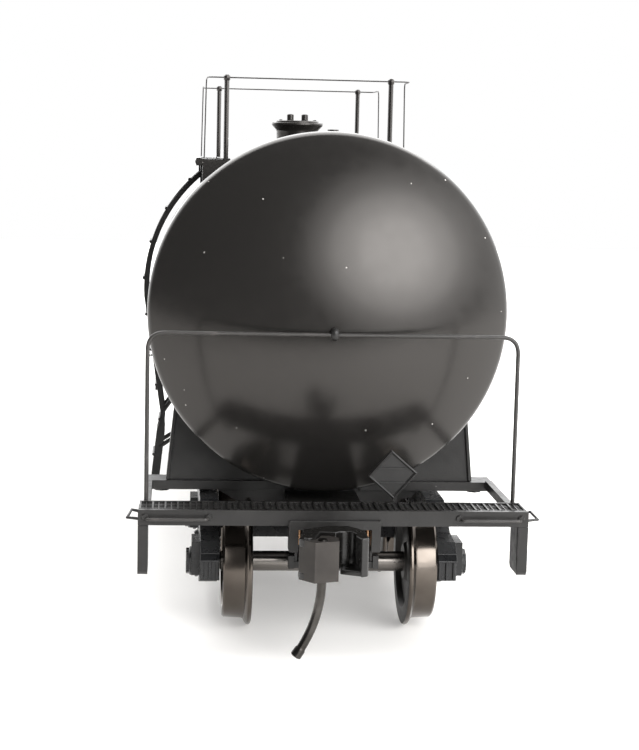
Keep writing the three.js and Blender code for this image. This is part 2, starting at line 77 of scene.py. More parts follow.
KEY_PLACE = (0.3, -0.5, 0.25)
KEY_TARGET = (0, -0.05, 0.03)
KEY_NESTING = 0.03             # each step of the key stands this share nearer, so that none hides another
KEY_STEPS = (                  # one soft lamp, brightest in its middle: name, size and power
    ("key wide", (0.92, 0.8), 3.3),
    ("key middle", (0.62, 0.52), 2.9),
    ("key core", (0.34, 0.3), 0.85),
)
TOP_PLACE, TOP_TARGET = (-0.05, 0.55, 0.6), (-0.05, 0.45, 0)
TOP_SIZE, TOP_POWER = (1.3, 1.1), 11
LADDER_STAND_OFF = 0.92 * MM   # of the ladder's middle line, from the tank's skin
LADDER_DEPTH = 0.62 * MM       # of the stiles, seen from the side
LADDER_FOOT_DEPTH = 1.0 * MM
LADDER_PITCH = 4.4 * MM        # from rung to rung
LADDER_TOP_ANGLE = 50          # degrees above the tank's middle, where the ladder starts
LADDER_WRAP = 53.5             # degrees round the tank, before it leaves for its foot
LADDER_STAYS = (               # from a stile to the tank's side, and to under the tank: across and up
    ((16 * MM, 12.4 * MM), (13.1 * MM, 16.6 * MM)), ((16.4 * MM, 8 * MM), (7.9 * MM, 13.7 * MM)),
)
SHANK_HALF = 0.95 * MM         # half the width of a coupler's shank
CAMERA_PLACE = (-0.01445, -0.212109, 0.0447135)
CAMERA_HEADING, CAMERA_TILT, CAMERA_ROLL = 0.0841, 0.13, 0.0233
CAMERA_LENS = 82.4

ENDS = {"near": Matrix.Identity(4), "far": Matrix.Rotation(math.pi, 4, "Z")}
SIDES = {"left": -1, "right": 1}
SPOTS = ("outer", "inner")

barrel_low, barrel_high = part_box("tank_barrel")
head_low, head_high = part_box("tank_head_near")
sill_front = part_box("end_sill_near")[0].y

TANK_RADIUS = (head_high.x - head_low.x) / 2
TANK_AXIS = (head_high.z + head_low.z) / 2
TANK_HALF = barrel_high.y
TANK_SAG = head_low.z - barrel_low.z
HEAD_DEPTH = -TANK_HALF - head_low.y


# ---- node tree helpers -------
class Finish:
    """A material with one principled shader and short helpers for its texture nodes."""

    def __init__(self, name, color, roughness, metallic=0.0):
        self.material = bpy.data.materials.new(name)
        self.material.use_nodes = True
        self.tree = self.material.node_tree
        self.shader = self.tree.nodes["Principled BSDF"]
        self.shader.inputs["Base Color"].default_value = (*color, 1)
        self.shader.inputs["Roughness"].default_value = roughness
        self.shader.inputs["Metallic"].default_value = metallic
        self.place = self.tree.nodes.new("ShaderNodeTexCoord")

    def node(self, kind, **settings):
        made = self.tree.nodes.new(kind)
        for key, value in settings.items():
            setattr(made, key, value)
        return made

    def link(self, out, into):
        self.tree.links.new(out, into)

    def noise(self, scale, detail=3.0, stretch=(1, 1, 1)):
        mapping = self.node("ShaderNodeMapping")
        mapping.inputs["Scale"].default_value = stretch
        self.link(self.place.outputs["Object"], mapping.inputs["Vector"])
        texture = self.node("ShaderNodeTexNoise")
        texture.inputs["Scale"].default_value = scale
        texture.inputs["Detail"].default_value = detail
        self.link(mapping.outputs["Vector"], texture.inputs["Vector"])
        return texture.outputs["Fac"]

    def spread(self, value, low, high, at_low, at_high):
        """A value that runs from low to high, stretched to run from at_low to at_high."""
        ranged = self.node("ShaderNodeMapRange")
        ranged.inputs["From Min"].default_value = low
        ranged.inputs["From Max"].default_value = high
        ranged.inputs["To Min"].default_value = at_low
        ranged.inputs["To Max"].default_value = at_high
        self.link(value, ranged.inputs["Value"])
        return ranged.outputs["Result"]

    def math(self, operation, first, second=None):
        made = self.node("ShaderNodeMath", operation=operation)
        self.link(first, made.inputs[0])
        if second is None:
            return made.outputs["Value"]
        if isinstance(second, (int, float)):
            made.inputs[1].default_value = second
        else:
            self.link(second, made.inputs[1])
        return made.outputs["Value"]

    def mix(self, amount, first, second):
        made = self.node("ShaderNodeMix", data_type="RGBA")
        self.link(amount, made.inputs["Factor"])
        for socket, value in ((made.inputs["A"], first), (made.inputs["B"], second)):
            if isinstance(value, tuple):
                socket.default_value = (*value, 1)
            else:
                self.link(value, socket)
        return made.outputs["Result"]

    def color(self, value):
        self.link(value, self.shader.inputs["Base Color"])

    def roughness(self, value):
        self.link(value, self.shader.inputs["Roughness"])

    def bump(self, height, strength, distance):
        made = self.node("ShaderNodeBump")
        made.inputs["Strength"].default_value = strength
        made.inputs["Distance"].default_value = distance
        self.link(height, made.inputs["Height"])
        if self.shader.inputs["Normal"].links:
            self.link(self.shader.inputs["Normal"].links[0].from_socket, made.inputs["Normal"])
        self.link(made.outputs["Normal"], self.shader.inputs["Normal"])

    def specks(self, cell, radius, share):
        """Mask of dust specks: one speck of up to that radius in a share of the cells."""
        texture = self.node("ShaderNodeTexVoronoi")
        texture.inputs["Scale"].default_value = 1 / cell
        self.link(self.place.outputs["Object"], texture.inputs["Vector"])
        near = self.spread(texture.outputs["Distance"], 0.4 * radius / cell, radius / cell, 1, 0)
        pick = self.node("ShaderNodeSeparateColor")
        self.link(texture.outputs["Color"], pick.inputs["Color"])
        chosen = self.spread(pick.outputs["Red"], 1 - share, 1 - share + 0.01, 0, 1)
        return self.math("MULTIPLY", near, chosen)


# ---- finishes ----------------
def tank_paint():
    """Satin black paint, with faint clouds of tone and a few specks of dust."""
    finish = Finish("satin black tank paint", (0.0125, 0.0118, 0.011), 0.3)
    finish.shader.inputs["Specular Tint"].default_value = (1, 0.95, 0.91, 1)
    cloud = finish.noise(60, 4)
    base = finish.mix(cloud, (0.0105, 0.0100, 0.0094), (0.0150, 0.0140, 0.0130))
    dust = finish.specks(1.9 * MM, 0.085 * MM, 0.8)
    finish.color(finish.mix(dust, base, (0.6, 0.58, 0.55)))
    finish.roughness(finish.spread(finish.noise(900, 3), 0.3, 0.7, 0.2, 0.26))
    finish.bump(finish.noise(2600, 2), 0.05, 0.02 * MM)
    return finish.material


def moulded_plastic(name, dark, light, roughness):
    """Black plastic with a fine grain, paler patches and a little dust."""
    finish = Finish(name, dark, roughness)
    patches = finish.noise(260, 5)
    base = finish.mix(finish.spread(patches, 0.35, 0.7, 0, 1), dark, light)
    dust = finish.specks(1.7 * MM, 0.05 * MM, 0.25)
    finish.color(finish.mix(dust, base, (0.22, 0.21, 0.2)))
    finish.roughness(finish.spread(finish.noise(1500, 3), 0.3, 0.7, roughness - 0.06, roughness + 0.1))
    finish.shader.inputs["Specular IOR Level"].default_value = 0.4
    finish.bump(finish.noise(4200, 4), 0.3, 0.03 * MM)
    finish.bump(finish.noise(900, 3), 0.12, 0.05 * MM)
    return finish.material


def blackened_wire():
    """Dark wire, worn paler in patches."""
    finish = Finish("blackened wire", (0.02, 0.019, 0.018), 0.38)
    worn = finish.spread(finish.noise(700, 5), 0.55, 0.75, 0, 1)
    finish.color(finish.mix(worn, (0.024, 0.022, 0.02), (0.06, 0.054, 0.05)))
    finish.roughness(finish.spread(finish.noise(2400, 3), 0.3, 0.7, 0.34, 0.5))
    finish.bump(finish.noise(5000, 3), 0.1, 0.02 * MM)
    return finish.material


def turned_metal(name, dark, light, roughness):
    """Metal with fine lathe rings round a crosswise axle, and darker tarnish in patches."""
    finish = Finish(name, light, roughness, 1.0)
    across = finish.node("ShaderNodeSeparateXYZ")
    finish.link(finish.place.outputs["Generated"], across.inputs["Vector"])
    up = finish.math("ADD", across.outputs["Z"], -0.5)
    fore = finish.math("ADD", across.outputs["Y"], -0.5)
    squares = finish.math("ADD", finish.math("POWER", up, 2), finish.math("POWER", fore, 2))
    radius = finish.math("SQRT", squares)
    face_rings, tread_rings = 620, 150
    rings = finish.math("SINE", finish.math("MULTIPLY", radius, face_rings))
    lengthwise = finish.math("SINE", finish.math("MULTIPLY", across.outputs["X"], tread_rings))
    tarnish = finish.spread(finish.noise(240, 3), 0.35, 0.68, 0, 1)
    finish.color(finish.mix(tarnish, light, dark))
    streak = finish.noise(500, 3)
    finish.roughness(finish.spread(streak, 0.3, 0.7, roughness - 0.04, roughness + 0.08))
    finish.bump(finish.math("ADD", rings, lengthwise), 0.05, 0.002 * MM)
    return finish.material


def cast_metal(name, dark, light, roughness, metallic=0.55, pits=0.07):
    """Sintered or cast metal with a fine pitted skin."""
    finish = Finish(name, dark, roughness, metallic)
    patches = finish.spread(finish.noise(500, 5), 0.3, 0.7, 0, 1)
    finish.color(finish.mix(patches, dark, light))
    finish.roughness(finish.spread(finish.noise(1800, 3), 0.3, 0.7, roughness - 0.04, roughness + 0.06))
    if pits:
        finish.bump(finish.noise(3800, 3), pits, 0.02 * MM)
    return finish.material


def drawn_metal(name, dark, light, roughness, metallic):
    """Wire or strip with streaks along its length."""
    finish = Finish(name, light, roughness, metallic)
    finish.color(finish.mix(finish.spread(finish.noise(450, 4), 0.35, 0.65, 0, 1), light, dark))
    finish.roughness(finish.spread(finish.noise(2600, 3, (1, 0.2, 1)), 0.3, 0.7, roughness, roughness + 0.12))
    finish.bump(finish.noise(6000, 2, (1, 0.1, 1)), 0.08, 0.01 * MM)
    return finish.material


FINISHES = {
    "tank_plastic": tank_paint(),
    "frame_plastic": moulded_plastic(
        "black frame plastic", (0.0085, 0.008, 0.0075), (0.0165, 0.0155, 0.0148), 0.36),
    "truck_plastic": moulded_plastic(
        "dark truck plastic", (0.006, 0.0062, 0.0068), (0.013, 0.0135, 0.0145), 0.28),
    "blackened_wire": blackened_wire(),
    "wheel_metal": turned_metal("nickelled wheel", (0.085, 0.073, 0.063), (0.125, 0.109, 0.095), 0.17),
    "axle_steel": turned_metal("axle steel", (0.13, 0.12, 0.11), (0.2, 0.185, 0.172), 0.2),
    "coupler_metal": cast_metal(
        "sintered coupler metal", (0.021, 0.018, 0.016), (0.037, 0.0325, 0.029), 0.38),
    "pin_steel": drawn_metal(
        "blackened pin steel", (0.04, 0.037, 0.034), (0.085, 0.08, 0.075), 0.13, 1.0),
    "bronze_strip": drawn_metal("phosphor bronze", (0.36, 0.2, 0.11), (0.55, 0.33, 0.2), 0.24, 1.0),
    "weight_steel": drawn_metal("plated steel", (0.35, 0.35, 0.34), (0.5, 0.5, 0.49), 0.35, 1.0),
}

BLACKENED_PLATE = cast_metal(
    "blackened wheel plate", (0.018, 0.017, 0.016), (0.03, 0.028, 0.026), 0.45)
BLACKENED_COUPLER = cast_metal(
    "blackened coupler head", (0.006, 0.0056, 0.0052), (0.009, 0.0084, 0.0078), 0.22, 0.1, 0)

SLOT_OF = {part["node"]: part["material_slot"] for part in frame["record"]["subparts"]}


# ---- mesh helpers ------------
def piece(name, mesh, slot, body, *replaced):
    """A shown piece with the finish of a slot, carried by a body."""
    made = bpy.data.objects.new(name, mesh)
    bpy.context.scene.collection.objects.link(made)
    made.data.materials.append(FINISHES[slot])
    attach(made, body)
    if replaced:
        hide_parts(*replaced)
    return made


def mesh_of(name, points, faces, smooth=True):
    """A mesh from its points and faces."""
    mesh = bpy.data.meshes.new(name)
    mesh.from_pydata([tuple(point) for point in points], [], faces)
    mesh.update()
    mesh.polygons.foreach_set("use_smooth", [smooth] * len(mesh.polygons))
    return mesh


def facing_out(mesh, weld=0.0):
    """Turns a mesh's faces outwards, after welding points that are closer than a distance."""
    tidy = bmesh.new()
    tidy.from_mesh(mesh)
    if weld:
        bmesh.ops.remove_doubles(tidy, verts=tidy.verts, dist=weld)
    bmesh.ops.recalc_face_normals(tidy, faces=tidy.faces)
    tidy.to_mesh(mesh)
    tidy.free()
    return mesh


def ring_faces(rings, sides):
    """The quads between one ring of points and the next."""
    faces = []
    for ring in range(rings - 1):
        low, high = ring * sides, (ring + 1) * sides
        for i in range(sides):
            j = (i + 1) % sides
            faces.append((low + i, low + j, high + j, high + i))
    return faces


def turned_mesh(name, profile, axis, centre, sides):
    """A profile of (radius, height) points turned round an axis through centre."""
    across = Vector((1, 0, 0)) if abs(axis.x) < 0.5 else Vector((0, 1, 0))
    first = axis.cross(across).normalized()
    second = axis.cross(first).normalized()
    points = []
    for radius, height in profile:
        for i in range(sides):
            angle = 2 * math.pi * i / sides
            out = first * math.cos(angle) + second * math.sin(angle)
            points.append(centre + axis * height + out * max(radius, 1e-7))
    return facing_out(mesh_of(name, points, ring_faces(len(profile), sides)), 0.001 * MM)


def prism_mesh(name, outline, low, high, crosswise=False):
    """An outline of (x, y) points raised between two heights, or of (y, z) points drawn out crosswise."""
    count = len(outline)
    points = []
    for reach in (low, high):
        for first, second in outline:
            points.append((reach, first, second) if crosswise else (first, second, reach))
    faces = [tuple(range(count)), tuple(range(count, 2 * count))]
    for i in range(count):
        j = (i + 1) % count
        faces.append((i, j, count + j, count + i))
    return facing_out(mesh_of(name, points, faces, smooth=not crosswise))


def boxes_mesh(name, boxes):
    """One mesh of several blocks, each given by its lowest and highest corner."""
    points = []
    faces = []
    for low, high in boxes:
        first = len(points)
        spans = list(zip(low, high))
        points += [(x, y, z) for x in spans[0] for y in spans[1] for z in spans[2]]
        for face in ((0, 1, 3, 2), (4, 6, 7, 5), (0, 4, 5, 1), (2, 3, 7, 6), (0, 2, 6, 4), (1, 5, 7, 3)):
            faces.append(tuple(first + corner for corner in face))
    return mesh_of(name, points, faces, smooth=False)


def flat_bar(name, path, depths, low, high):
    """A bar along a path of (x, z) points, with a depth at each, and as wide as from low to high in y."""
    points = []
    for i, point in enumerate(path):
        before, after = path[max(i - 1, 0)], path[min(i + 1, len(path) - 1)]
        way = (after - before).normalized()
        side = Vector((-way.y, way.x)) * depths[i] / 2
        inner, outer = point + side, point - side
        points += [(inner.x, low, inner.y), (outer.x, low, outer.y)]
        points += [(outer.x, high, outer.y), (inner.x, high, inner.y)]
    faces = [(3, 2, 1, 0)]
    for i in range(len(path) - 1):
        first = 4 * i
        for corner in range(4):
            following = (corner + 1) % 4
            faces.append((first + corner, first + following, first + 4 + following, first + 4 + corner))
    last = 4 * (len(path) - 1)
    faces.append((last, last + 1, last + 2, last + 3))
    return mesh_of(name, points, faces)


def joined(name, meshes):
    """One mesh that holds them all. The given ones are used up."""
    whole = bmesh.new()
    for mesh in meshes:
        whole.from_mesh(mesh)
        bpy.data.meshes.remove(mesh)
    mesh = bpy.data.meshes.new(name)
    whole.to_mesh(mesh)
    whole.free()
    return mesh


def arc(centre, radius, start, stop, steps=10):
    """Points on an arc in plan, from one angle to another in degrees."""
    made = []
    for i in range(steps + 1):
        angle = math.radians(start + (stop - start) * i / steps)
        made.append((centre[0] + radius * math.cos(angle), centre[1] + radius * math.sin(angle)))
    return made


def rod(name, corners, radius, slot, body, *replaced, bend=0, turn=Matrix.Identity(4)):
    """A round wire through its corners, each rounded to a bend radius."""
    curve = bpy.data.curves.new(name, "CURVE")
    curve.dimensions = "3D"
    curve.bevel_depth = radius
    curve.bevel_resolution = 5
    curve.use_fill_caps = True
    path = rounded_path([Vector(corner) for corner in corners], bend)
    spline = curve.splines.new("POLY")
    spline.points.add(len(path) - 1)
    for point, at in zip(spline.points, path):
        point.co = (*(turn @ at), 1)
    spline.use_smooth = True
    return piece(name, curve, slot, body, *replaced)


def rounded_path(corners, bend, steps=8):
    """Points along straight runs between the corners, with a curve in place of each inner corner."""
    path = [corners[0]]
    for before, corner, after in zip(corners, corners[1:], corners[2:]):
        if bend == 0:
            path.append(corner)
            continue
        start = corner + (before - corner).normalized() * bend
        stop = corner + (after - corner).normalized() * bend
        for i in range(steps + 1):
            share = i / steps
            path.append(curve_point(start, corner, stop, share))
    path.append(corners[-1])
    return path


def curve_point(start, pull, stop, share):
    """The point at a share of the way along a curve from start to stop that is pulled aside."""
    return start * (1 - share) ** 2 + pull * 2 * share * (1 - share) + stop * share ** 2


def bolt_heads(name, spots, direction, radius, height, slot, body):
    """Six-sided bolt heads at these spots, standing out in one direction."""
    profile = [(radius, 0), (radius, height * 0.7), (radius * 0.8, height), (0, height)]
    heads = [turned_mesh("bolt", profile, Vector(direction), Vector(spot), 6) for spot in spots]
    mesh = joined(name, heads)
    mesh.polygons.foreach_set("use_smooth", [False] * len(mesh.polygons))
    return piece(name, mesh, slot, body)


def soften(obj, width=EDGE_ROUNDING, angle=30):
    """Rounds an object's sharp edges."""
    weld = obj.modifiers.new("weld", "WELD")
    weld.merge_threshold = 0.002 * MM
    bevel = obj.modifiers.new("round edges", "BEVEL")
    bevel.width = width
    bevel.segments = 2
    bevel.limit_method = "ANGLE"
    bevel.angle_limit = math.radians(angle)
    bevel.harden_normals = True
    return obj


def crisp(obj, angle):
    """Marks edges sharper than the angle as crisp, and leaves the rest smooth."""
    tidy = bmesh.new()
    tidy.from_mesh(obj.data)
    for edge in tidy.edges:
        sharp = len(edge.link_faces) == 2 and edge.calc_face_angle() > math.radians(angle)
        edge.smooth = not sharp
    tidy.to_mesh(obj.data)
    tidy.free()
    return obj


# ---- tank --------------------
def axis_height(y):
    """Height of the barrel's axis, which dips towards the middle of the wagon."""
    return TANK_AXIS - TANK_SAG * (1 - min(abs(y) / TANK_HALF, 1))


def tank_barrel():
    """The barrel's two sloping halves, with a fine seam round it where its plates meet."""
    seams = [TANK_HALF * share for share in (-0.98, -0.66, -0.33, 0, 0.33, 0.66, 0.98)]
    stations = [(-TANK_HALF, 0)]
    for seam in seams:
        for step, depth in SEAM_SHAPE:
            stations.append((seam + step * MM, depth))
    stations.append((TANK_HALF, 0))
    points = []
    for y, depth in stations:
        radius = TANK_RADIUS - depth
        for i in range(SMOOTH_SIDES):
            angle = 2 * math.pi * i / SMOOTH_SIDES
            points.append((radius * math.cos(angle), y, axis_height(y) + radius * math.sin(angle)))
    faces = [face[::-1] for face in ring_faces(len(stations), SMOOTH_SIDES)]
    mesh = mesh_of("tank shell", points, faces)
    return piece("tank_shell", mesh, "tank_plastic", "wagon_body", "tank_barrel")


def head_profile():
    """A spherical crown, a tight knuckle and a short straight skirt, as radius and height points."""
    crown_edge = TANK_RADIUS - KNUCKLE_RADIUS * (1 - math.sin(KNUCKLE_START))
    skirt = KNUCKLE_RADIUS * math.cos(KNUCKLE_START)
    drop = HEAD_DEPTH - SKIRT - skirt
    crown_radius = (crown_edge ** 2 + drop ** 2) / (2 * drop)
    crown_steps, knuckle_steps = 30, 12
    profile = []
    for i in range(crown_steps + 1):
        radius = crown_edge * i / crown_steps
        rise = math.sqrt(crown_radius ** 2 - radius ** 2)
        profile.append((radius, HEAD_DEPTH - crown_radius + rise))
    for i in range(1, knuckle_steps + 1):
        angle = KNUCKLE_START + (math.pi / 2 - KNUCKLE_START) * i / knuckle_steps
        radius = TANK_RADIUS - KNUCKLE_RADIUS * (1 - math.sin(angle))
        profile.append((radius, SKIRT + KNUCKLE_RADIUS * math.cos(angle)))
    profile.append((TANK_RADIUS, 0.02 * MM))
    return profile


def tank_heads():
    """The two dished heads, one at each end of the barrel."""
    profile = head_profile()
    centre = Vector((0, -TANK_HALF, TANK_AXIS))
    for end, turn in ENDS.items():
        mesh = turned_mesh("tank head", profile, Vector((0, -1, 0)), centre, SMOOTH_SIDES)
        mesh.transform(turn)
        piece(f"tank_dish_{end}", mesh, "tank_plastic", "wagon_body", f"tank_head_{end}")


# ---- wheels and axles --------
def wheel_profile(tread, flange, width):
    """Radius and depth from the back face: flange, coned tread, rim, dished plate and hub."""
    hub = 1.75 * MM
    bore = 0.9 * MM
    rim = tread - 0.95 * MM
    return [
        (bore, 0.15 * MM), (hub - 0.15 * MM, 0.15 * MM), (hub, 0.3 * MM), (hub + 0.2 * MM, 0.6 * MM),
        (rim - 0.3 * MM, 0.5 * MM), (rim, 0.1 * MM), (rim + 0.15 * MM, 0), (flange - 0.28 * MM, 0),
        (flange - 0.1 * MM, 0.06 * MM), (flange, 0.22 * MM), (flange - 0.05 * MM, 0.4 * MM),
        (flange - 0.3 * MM, 0.6 * MM), (tread + 0.18 * MM, 0.72 * MM), (tread + 0.08 * MM, 0.92 * MM),
        (tread, width - 0.15 * MM), (tread - 0.12 * MM, width), (rim + 0.12 * MM, width),
        (rim, width - 0.12 * MM), (rim - 0.12 * MM, width - 0.75 * MM), (rim - 0.5 * MM, width - 1.0 * MM),
        (hub + 0.5 * MM, width - 1.15 * MM), (hub, width - 0.95 * MM), (hub - 0.1 * MM, width - 0.4 * MM),
        (hub - 0.3 * MM, width - 0.3 * MM), (bore, width - 0.3 * MM), (bore, 0.15 * MM),
    ]


def axle_profile(half):
    """Pointed ends, slim journals and a thicker middle, as radius and place along the axle."""
    one_half = [
        (0.95 * MM, AXLE_SHOULDER - 0.1 * MM), (0.75 * MM, AXLE_SHOULDER),
        (0.72 * MM, half - 1.0 * MM), (0, half),
    ]
    return [(radius, -along) for radius, along in one_half[::-1]] + one_half


def blacken_plate(wheel, centre, rim):
    """Everything inside the rim, and the back face, is blackened. The tread and flange stay bright."""
    wheel.data.materials.append(BLACKENED_PLATE)
    back = min((vertex.co.x for vertex in wheel.data.vertices), key=abs)
    for face in wheel.data.polygons:
        radius = math.hypot(face.center.y - centre.y, face.center.z - centre.z)
        on_back = abs(face.center.x - back) < 0.05 * MM
        if radius < rim or on_back:
            face.material_index = 1


def wheelsets():
    """Two turned wheels and their axle, in each of the four places."""
    for end in ENDS:
        for spot in SPOTS:
            axle_low, axle_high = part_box(f"axle_{end}_{spot}")
            centre = (axle_low + axle_high) / 2
            for side in SIDES:
                node = f"wheel_{end}_{spot}_{side}"
                low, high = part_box(node)
                outward = 1 if (low.x + high.x) > 0 else -1
                flange = (high.z - low.z) / 2
                back = min(abs(low.x), abs(high.x))
                profile = wheel_profile(flange - 0.75 * MM, flange, high.x - low.x)
                start = Vector((outward * back, centre.y, centre.z))
                mesh = turned_mesh(node, profile, Vector((outward, 0, 0)), start, WHEEL_SIDES)
                wheel = piece(f"turned_{node}", mesh, "wheel_metal", f"wheelset_{end}_{spot}", node)
                crisp(wheel, 28)
                blacken_plate(wheel, centre, flange - 1.75 * MM)
            profile = axle_profile((axle_high.x - axle_low.x) / 2)
            mesh = turned_mesh("axle", profile, Vector((1, 0, 0)), centre, 40)
            axle = piece(f"turned_axle_{end}_{spot}", mesh, "axle_steel", f"wheelset_{end}_{spot}",
                         f"axle_{end}_{spot}")
            crisp(axle, 30)


# ---- end platform ------------
def walkway_grating():
    """Bars across a frame, with slats just below their top edges and a plate under them."""
    low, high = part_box("end_walkway_near")
    rim, bars, slats = 0.28 * MM, 62, 6
    thick_bar, thin_bar = 0.16 * MM, 0.1 * MM
    boxes = [
        ((low.x, low.y, low.z), (high.x, low.y + rim, high.z)),
        ((low.x, high.y - rim, low.z), (high.x, high.y, high.z)),
    ]
    for i in range(bars + 1):
        x = low.x + (high.x - low.x - thick_bar) * i / bars
        top = high.z if i % 2 == 0 else high.z - 0.07 * MM
        thick = thick_bar if i % 2 == 0 else thin_bar
        boxes.append(((x, low.y, low.z), (x + thick, high.y, top)))
    for i in range(1, slats):
        y = low.y + (high.y - low.y) * i / slats
        boxes.append(((low.x, y - 0.07 * MM, low.z), (high.x, y + 0.07 * MM, high.z - 0.12 * MM)))
    boxes.append(((low.x, low.y + rim, low.z), (high.x, high.y - rim, high.z - 0.19 * MM)))
    for end, turn in ENDS.items():
        mesh = boxes_mesh("grating", boxes)
        mesh.transform(turn)
        piece(f"walkway_grating_{end}", mesh, "frame_plastic", "wagon_body", f"end_walkway_{end}")


def end_hoop():
    """The end handrail: one bent wire, the clip that stands it off the tank head, and its knob."""
    low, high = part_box("end_handrail_near")
    radius = 0.2 * MM
    front = low.y + 0.25 * MM
    top = high.z - 0.7 * MM
    left, right = low.x + radius, high.x - radius
    corners = [(left, front, low.z), (left, front, top), (right, front, top), (right, front, low.z)]
    clip_profile = [
        (0.0, 0), (0.2 * MM, 0), (0.26 * MM, 0.06 * MM), (0.26 * MM, 0.2 * MM), (0.17 * MM, 0.26 * MM),
        (0.17 * MM, high.y - front + 0.2 * MM), (0.0, high.y - front + 0.2 * MM),
    ]
    knob_profile = [
        (0, -0.66 * MM), (0.22 * MM, -0.66 * MM), (0.38 * MM, -0.4 * MM), (0.44 * MM, 0.1 * MM),
        (0.3 * MM, 0.42 * MM), (0, 0.55 * MM),
    ]
    for end, turn in ENDS.items():
        rod(f"hoop_wire_{end}", corners, radius, "blackened_wire", "wagon_body", f"end_handrail_{end}",
            bend=HOOP_BEND, turn=turn)
        start = Vector((0, front - 0.2 * MM, top + 0.1 * MM))
        clip = turned_mesh("clip", clip_profile, Vector((0, 1, 0)), start, 20)
        clip.transform(turn)
        piece(f"hoop_clip_{end}", clip, "frame_plastic", "wagon_body")
        start = Vector((0, front, top + 0.14 * MM))
        knob = turned_mesh("knob", knob_profile, Vector((0, 0, 1)), start, 16)
        knob.transform(turn)
        piece(f"hoop_knob_{end}", knob, "frame_plastic", "wagon_body")


def sill_fittings():
    """Bolt heads at the grab irons' ends, and the grab irons themselves as smooth wires."""
    radius = 0.14 * MM
    for end, turn in ENDS.items():
        out = turn.to_3x3() @ Vector((0, -1, 0))
        for side in SIDES:
            low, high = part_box(f"sill_grab_iron_{side}_near")
            middle = (low.z + high.z) / 2
            left, right, front = low.x + radius, high.x - radius, low.y + radius
            corners = [
                (left, high.y, middle), (left, front, middle),
                (right, front, middle), (right, high.y, middle),
            ]
            rod(f"grab_wire_{side}_{end}", corners, radius, "blackened_wire", "wagon_body",
                f"sill_grab_iron_{side}_{end}", bend=0.3 * MM, turn=turn)
            spots = []
            for x in (left - 0.2 * MM, right + 0.15 * MM):
                spots.append(turn @ Vector((x, sill_front + 0.02 * MM, middle + 0.1 * MM)))
            bolt_heads(f"grab_bolts_{side}_{end}", spots, out, 0.34 * MM, 0.2 * MM,
                       "frame_plastic", "wagon_body")


def placard_rim():
    """A thin raised rim and two ribs on the leaning diamond of the placard holder."""
    low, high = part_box("placard_holder_near")
    lean = math.radians(4)
    reach = (high.x - low.x) / 2 / math.cos(lean) - 0.12 * MM
    middle = high.z - reach * math.cos(lean) - 0.12 * MM
    centre = Vector(((low.x + high.x) / 2, low.y + 0.02 * MM, middle))
    corners = []
    for i in range(5):
        angle = lean + i * math.pi / 2
        corners.append(centre + Vector((reach * math.cos(angle), 0, reach * math.sin(angle))))
    for end, turn in ENDS.items():
        for i in range(4):
            rod(f"placard_edge_{i}_{end}", corners[i:i + 2], 0.11 * MM, "frame_plastic", "wagon_body",
                turn=turn)
        for number, height in enumerate((-0.75 * MM, 0.6 * MM)):
            half = reach - abs(height) - 0.25 * MM
            ends = [centre + Vector((side * half, 0.1 * MM, height)) for side in (-1, 1)]
            rod(f"placard_rib_{number}_{end}", ends, 0.07 * MM, "frame_plastic", "wagon_body",
                turn=turn)


# ---- top platforms -----------
def platform_rails():
    """The thin handrail wire at each end of the two platforms."""
    radius = 0.075 * MM
    low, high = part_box("platform_handrail_near")
    inset = (high.x - low.x) * 0.009
    front, top = low.y + radius, high.z - radius
    corners = [
        (low.x + radius, high.y - radius, low.z), (low.x + inset, high.y - radius, top),
        (low.x + 1.5 * inset, front, top), (high.x - 1.5 * inset, front, top),
        (high.x - inset, high.y - radius, top), (high.x - radius, high.y - radius, low.z),
    ]
    for end, turn in ENDS.items():
        rod(f"platform_wire_{end}", corners, radius, "blackened_wire", "wagon_body",
            f"platform_handrail_{end}", bend=0.9 * MM, turn=turn)


def platform_grating():
    """Cross slats on the decks, and a round nosing along each deck's two edges."""
    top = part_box("platform_handrail_near")[0].z - 0.03 * MM
    slats = 60
    for side, way in SIDES.items():
        low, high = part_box(f"top_platform_{side}")
        inner, outer = sorted((abs(low.x), abs(high.x)))
        length = high.y - low.y
        boxes = []
        for i in range(1, slats):
            y = low.y + length * i / slats
            edges = sorted((way * (inner + 0.5 * MM), way * (outer - 0.5 * MM)))
            boxes.append((
                (edges[0], y - 0.09 * MM, top - 0.3 * MM), (edges[1], y + 0.09 * MM, top - 0.12 * MM),
            ))
        for share in (0.35, 0.65):
            x = way * (inner + (outer - inner) * share)
            boxes.append((
                (x - 0.07 * MM, low.y, top - 0.3 * MM), (x + 0.07 * MM, high.y, top - 0.14 * MM),
            ))
        piece(f"platform_slats_{side}", boxes_mesh("slats", boxes), "tank_plastic", "wagon_body")
        for number, x in enumerate((way * (outer - 0.33 * MM), way * (inner + 0.3 * MM))):
            start = Vector((x, low.y - 0.05 * MM, top - 0.43 * MM))
            stop = Vector((x, high.y + 0.05 * MM, top - 0.43 * MM))
            rod(f"platform_nosing_{number}_{side}", [start, stop], 0.45 * MM, "tank_plastic", "wagon_body")


